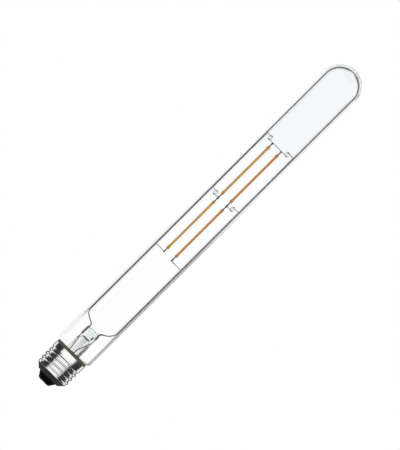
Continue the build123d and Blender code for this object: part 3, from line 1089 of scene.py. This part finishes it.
class LAMP_OT_leads(Operator):
    """Draws the lead-in wires and the rails as smoothly bent wire"""

    bl_idname = "lamp.leads"
    bl_label = "Leads and Rails"

    def execute(self, context):
        wires = context.scene.lamp_wires
        lead_metal = wire_metal("lead_wire_metal", wires.lead, 0.4)
        rail_metal = wire_metal("rail_wire_metal", wires.rail, 0.45)
        oxide = coated("sealed_wire_oxide", wires.oxide, 0.7, 0.3, 700.0, 0.1, 0.05)
        for side in SIDES:
            # A lead ends thin in the seal, so it is drawn from there
            seal_first = [Vector(place) * MILLIMETRE for place in reversed(LEAD_ROUTES[side])]
            wire = drawn_wire(f"lead_in_wire_{side}", seal_first, wires.lead_radius, 2, 0.6)
            finish_piece(wire, "lead_wire", [f"lead_in_{side}"], lead_metal)
            low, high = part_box(f"rail_{side}")
            rail_x = low.x + wires.rail_radius if side == "left" else high.x - wires.rail_radius
            route = [Vector(place) * MILLIMETRE for place in RAIL_ROUTES[side]]
            route += [Vector((rail_x, 0.0, z)) for z in (*RAIL_HEIGHTS, high.z)]
            rail = drawn_wire(f"rail_wire_{side}", route, wires.rail_radius, 3, 1.65)
            finish_piece(rail, "rail_wire", [f"rail_{side}"], rail_metal, oxide)
            for face in rail.data.polygons:
                face.material_index = int(face.center.z < wires.seal_top)
        return {"FINISHED"}


class LAMP_OT_cross_wires(Operator):
    """Finishes the cross wires, cuts one tab with its weld pad and copies it to its places"""

    bl_idname = "lamp.cross_wires"
    bl_label = "Cross Wires and Tabs"

    def execute(self, context):
        wires = context.scene.lamp_wires
        cross = wire_metal("cross_wire_metal", wires.cross, 0.4)
        strip = coated("tab_strip_metal", wires.tab, 0.5, 0.3, 900.0, 0.1)
        dress(cross, "top_crossbar")
        low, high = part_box("lower_filament_left_bottom_tab")
        size = high - low
        begin()
        bpy.ops.mesh.primitive_cube_add(size=1.0)
        tab = edit_new("tab_strip")
        widen(wires.tab_width, size.y, size.z)
        # The ends of the weld pad and of its taper, as shares of the tab's length
        pad_start, pad_end, taper_end = 0.03, 0.23, 0.33
        for part in (pad_start, pad_end, taper_end):
            slit((0.0, 0.0, (part - 0.5) * size.z), (0.0, 0.0, 1.0))
        near = 0.02
        below, above = pad_start - near - 0.5, pad_end + near - 0.5
        pick(tab, "VERT", lambda point: below < point.co.z / size.z < above)
        widen(wires.tab_pad / wires.tab_width, 1.0)
        pick(tab, "EDGE", lambda edge: edge.calc_face_angle() > STEEP)
        bpy.ops.mesh.bevel(offset=size.y / 6, segments=2, affect="EDGES")
        close_edit()
        smooth()
        turned = copied(tab, "tab_strip_turned", ORIGIN)
        edit()
        bpy.ops.transform.rotate(value=math.pi, orient_axis="Y", center_override=ORIGIN)
        leave()
        for side in SIDES:
            for name in ("lower_cross", "middle_rail", "middle_filament", "top_rail"):
                dress(cross, f"{name}_wire_{side}")
            for level in LEVELS:
                for end, shape in (("bottom", tab), ("top", turned)):
                    part = f"{level}_filament_{side}_{end}_tab"
                    copy_to(shape, part.replace("filament", "welded"), part, "tab_metal", strip)
        bpy.data.objects.remove(tab)
        bpy.data.objects.remove(turned)
        return {"FINISHED"}


class LAMP_OT_beads(Operator):
    """Melts one glass bead and copies it to its four places"""

    bl_idname = "lamp.beads"
    bl_label = "Glass Beads"

    def execute(self, context):
        stem = context.scene.lamp_stem
        glass = bead_glass("bead_clear_glass", stem.bead_tint)
        low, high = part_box("middle_bead_left")
        wide, tall = (high.x - low.x) / 2, (high.z - low.z) / 2
        begin()
        bpy.ops.mesh.primitive_uv_sphere_add(segments=40, ring_count=24, radius=wide)
        bead = edit_new("melted_bead")
        swell, stretch, fullness = 1.08, 1.04, 1.1
        widen(swell, swell, stretch * tall / wide)
        pick(bead, "VERT", lambda point: 0.35 * tall < abs(point.co.z) < 0.9 * tall)
        widen(fullness, fullness)
        select_all()
        bpy.ops.mesh.vertices_smooth(factor=0.5, repeat=3)
        close_edit()
        bpy.ops.object.shade_smooth()
        paint(bead, "crown", lambda point: 0.9 * ramp(point.co.z / tall, 0.62, 0.22))
        for level in ("middle", "top"):
            for side in SIDES:
                part = f"{level}_bead_{side}"
                copy_to(bead, f"{level}_melted_bead_{side}", part, "bead_glass", glass)
        bpy.data.objects.remove(bead)
        return {"FINISHED"}


class LAMP_OT_filaments(Operator):
    """Turns one coated filament and copies it to its four places"""

    bl_idname = "lamp.filaments"
    bl_label = "Filaments"

    def execute(self, context):
        wanted = context.scene.lamp_filaments
        low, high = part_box("lower_filament_left")
        half = (high.z - low.z) / 2
        neck = half - wanted.head_length
        upper = [
            (wanted.radius, 0.0),
            (wanted.radius, neck, 0.0006),
            (wanted.head_radius, neck + wanted.tip_length, 0.0006),
            (wanted.head_radius, half - wanted.tip_length, 0.0005),
            (wanted.tip_radius, half, 0.0002),
            (0.0, half),
        ]
        lower = [(r, -z, *bend) for r, z, *bend in reversed(upper)]
        rod = spun("coated_filament", rounded(lower[:-1] + upper[1:]), 40)
        paint(rod, "head", lambda point: ramp(abs(point.co.z), half - 0.0022, 0.0016))
        coatings = ((wanted.left, "phosphor_amber"), (wanted.right, "phosphor_orange"))
        for side, (base, slot) in zip(SIDES, coatings):
            coat = phosphor(f"phosphor_coat_{side}", base, wanted.head_shade)
            for level in LEVELS:
                part = f"{level}_filament_{side}"
                copy_to(rod, f"{level}_coated_filament_{side}", part, slot, coat)
        bpy.data.objects.remove(rod)
        return {"FINISHED"}


class LAMP_OT_driver(Operator):
    """Finishes the board, the components and the wires inside the cap"""

    bl_idname = "lamp.driver"
    bl_label = "Driver in the Cap"

    def execute(self, context):
        wires = context.scene.lamp_wires
        board = coated("board_laminate", (0.10, 0.26, 0.14), 0.5, 0.15, 600.0, 0.1)
        package = coated("package_moulding", (0.02, 0.02, 0.022), 0.55, 0.3, 1200.0, 0.2)
        sleeve = coated("sleeve_film", (0.03, 0.03, 0.05), 0.3, 0.2, 500.0, 0.05)
        lacquer = coated("fuse_lacquer", (0.28, 0.40, 0.34), 0.35, 0.2, 900.0, 0.1)
        hidden_wire = wire_metal("driver_wire_metal", wires.lead, 0.35)
        dress(board, "driver_board")
        dress(package, "bridge_rectifier", "driver_chip")
        dress(sleeve, "smoothing_capacitor")
        dress(lacquer, "fuse_resistor")
        dress(hidden_wire, "live_wire", "neutral_wire")
        return {"FINISHED"}


def lay_floor(stage):
    """A pale round floor that fades into the white of the room."""
    begin()
    bpy.ops.mesh.primitive_circle_add(vertices=96, radius=stage.floor_radius, fill_type="NGON")
    floor = edit_new("pale_floor")
    bpy.ops.transform.translate(value=(0.0, 0.0, cad_low.z - stage.floor_drop))
    leave()
    paper = Finish("pale_floor_paper")
    paper.tree.nodes.remove(paper.shader)
    flat = paper.add(
        "ShaderNodeVectorMath", {0: paper.object_place(), 1: (1.0, 1.0, 0.0)}, operation="MULTIPLY"
    )
    reach = paper.add("ShaderNodeVectorMath", {0: flat.outputs[0]}, operation="LENGTH")
    reach = Value(paper, reach.outputs["Value"])
    fade = reach.step(0.25 * stage.floor_radius, 0.98 * stage.floor_radius)
    pale = paper.add("ShaderNodeBsdfDiffuse", {"Color": (0.93, 0.93, 0.93)})
    white = paper.add("ShaderNodeEmission", {"Color": WHITE})
    mix = paper.add("ShaderNodeMixShader", {0: fade, 1: pale.outputs[0], 2: white.outputs[0]})
    paper.feed(paper.tree.nodes["Material Output"].inputs["Surface"], mix.outputs[0])
    floor.data.materials.append(paper.material)
    floor.visible_glossy = False
    floor.visible_transmission = False


def plate_view(nodes, stage, x, y, z):
    """What bright plate shows: white before and behind, dark at both sides and greyer above."""
    turn = abs(nodes.math("ARCTAN2", x, y * -1.0))
    start, end, blur = stage.flank_start, stage.flank_end, stage.flank_blur
    flank = turn.step(start - blur, start + blur) * turn.step(end - blur, end + blur, 1.0, 0.0)
    streak = z.step(-0.70, -0.60, 1.0, 0.0) * turn.step(math.radians(106), math.radians(118))
    flank = flank * (1.0 - streak)
    over = z.step(0.12, 0.9, 0.0, 0.82)
    behind_high = y.step(0.0, 0.2) * z.step(0.45, 0.65)
    rim = turn.step(math.radians(141), math.radians(151), 0.0, 0.9)
    shade = nodes.largest(flank, rim, over, behind_high)
    return shade.step(0.0, 1.0, 1.0, stage.flank_level)


def build_room(scene, stage):
    """White all round, with dark flags that only the plate and the glass show."""
    world = bpy.data.worlds.new("white_room")
    scene.world = world
    world.use_nodes = True
    world.cycles.sampling_method = "NONE"
    nodes = Nodes(world.node_tree)
    way = nodes.add("ShaderNodeTexCoord").outputs["Generated"]
    axes = nodes.add("ShaderNodeSeparateXYZ", {0: way})
    x, y, z = (Value(nodes, socket) for socket in axes.outputs)
    plate = plate_view(nodes, stage, x, y, z)
    lower = z.step(-0.003, 0.004, 1.0, 0.0)

    # What the outer face of the glass shows: white, and a grey flag behind it on the right
    flag = x.step(0.0, 0.06) * y.step(0.70, 0.85)
    glaze = 1.0 - flag * z.step(0.0003, 0.0065, 0.75, 0.25)

    # What the walls of the glass gather: white behind, a dark gap beside it, and pale sides
    window = y.step(math.cos(math.radians(37)), math.cos(math.radians(33)))
    low_right = x.step(-0.16, -0.08) * lower
    above = z.step(0.05, 0.15)
    window = window * (1.0 - (low_right * 0.48 + above * 0.2))
    dome_left = above * abs(x).step(0.0, 0.3, 0.11, 0.03)
    sides = (y - dome_left).step(0.50, 0.60, 0.93, 0.0)
    reach = x.step(-0.05, 0.05, 0.0, 0.085)
    foot = z.step(-0.0125, -0.0105, 0.8, 0.0) * (y + reach).step(0.78, 0.84, 1.0, 0.0)
    inside = nodes.largest(window, sides, foot).step(0.0, 1.0, stage.edge_level, 1.0)

    # Straight through all is white; plate, glaze and walls each show their own room
    path = nodes.add("ShaderNodeLightPath").outputs
    entered, mirrored, scattered = (
        nodes.math("GREATER_THAN", Value(nodes, path[f"{kind} Depth"]), 0.5)
        for kind in ("Transmission", "Glossy", "Diffuse")
    )
    seen = nodes.choose(path["Is Singular Ray"], plate, glaze)
    seen = nodes.choose(entered, seen, inside)
    seen = nodes.choose(mirrored, 1.0, seen)
    background = world.node_tree.nodes["Background"].inputs
    nodes.feed(background["Strength"], nodes.choose(scattered, seen, stage.ambient))
    nodes.feed(background["Color"], WHITE)


def hang_key_light(stage):
    """A wide soft light above and to the left of the camera."""
    begin()
    bpy.ops.object.light_add(type="AREA", location=(-0.5, -0.7, 1.1))
    key = bpy.context.object
    key.name = "soft_key"
    key.data.size = 0.9
    key.data.energy = stage.key_power
    aim = Vector((0.0, 0.0, 0.12)) - key.location
    key.rotation_euler = aim.to_track_quat("-Z", "Y").to_euler()
    key.visible_glossy = False
    key.visible_transmission = False
    key.visible_camera = False


def place_camera(scene, stage):
    """A long lens level with the middle of the lamp, rolled so that the lamp lies aslant."""
    right = Vector((0.7055, 0.0, 0.7088))
    up = Vector((-0.7088, 0.0, 0.7055))
    back = Vector((0.0, -1.0, 0.0))
    view_height, picture_height = 0.306, 450
    pixel = view_height / picture_height
    shift_right, shift_up = 0.58 * pixel, 1.02 * pixel
    middle = Vector((0.0, 0.0, (cad_low.z + cad_high.z) / 2))
    aim = middle + right * shift_right + up * shift_up
    begin()
    bpy.ops.object.camera_add()
    camera = bpy.context.object
    camera.name = "photo_camera"
    camera.data.lens = stage.lens
    camera.data.sensor_width = 36.0
    camera.data.clip_start = 0.05
    turned = Matrix((right, up, back)).transposed()
    camera.matrix_world = Matrix.Translation(aim + back * stage.distance) @ turned.to_4x4()
    scene.camera = camera


class LAMP_OT_stage(Operator):
    """Sets the floor, the soft light, the room that glass and plate reflect, and the camera"""

    bl_idname = "lamp.stage"
    bl_label = "Stage"

    def execute(self, context):
        stage = context.scene.lamp_stage
        lay_floor(stage)
        build_room(context.scene, stage)
        hang_key_light(stage)
        place_camera(context.scene, stage)
        context.scene.view_settings.view_transform = "Standard"
        return {"FINISHED"}


OPERATORS = (
    LAMP_OT_envelope,
    LAMP_OT_cap_shell,
    LAMP_OT_cap_end,
    LAMP_OT_cement,
    LAMP_OT_stem,
    LAMP_OT_leads,
    LAMP_OT_cross_wires,
    LAMP_OT_beads,
    LAMP_OT_filaments,
    LAMP_OT_driver,
    LAMP_OT_stage,
)


class LAMP_PT_sidebar(Panel):
    """Lists the pieces and their settings"""

    bl_idname = "LAMP_PT_sidebar"
    bl_label = "Tubular Lamp"
    bl_space_type = "VIEW_3D"
    bl_region_type = "UI"
    bl_category = "Tubular Lamp"

    def draw(self, context):
        for operator in OPERATORS:
            self.layout.operator(operator.bl_idname)
        for name, group in SETTINGS.items():
            box = self.layout.box()
            box.label(text=group.__doc__)
            for setting in group.__annotations__:
                box.prop(getattr(context.scene, name), setting)


CLASSES = (*SETTINGS.values(), *OPERATORS, LAMP_PT_sidebar)


def register():
    """Registers the settings, the operators and the panel."""
    for each in CLASSES:
        bpy.utils.register_class(each)
    for name, group in SETTINGS.items():
        setattr(bpy.types.Scene, name, PointerProperty(type=group))


def unregister():
    """Removes what register added."""
    for name in SETTINGS:
        delattr(bpy.types.Scene, name)
    for each in reversed(CLASSES):
        bpy.utils.unregister_class(each)


def main():
    """Makes every piece in order and sets the stage."""
    register()
    for operator in OPERATORS:
        family, action = operator.bl_idname.split(".")
        getattr(getattr(bpy.ops, family), action)()


if __name__ == "__main__":
    main()
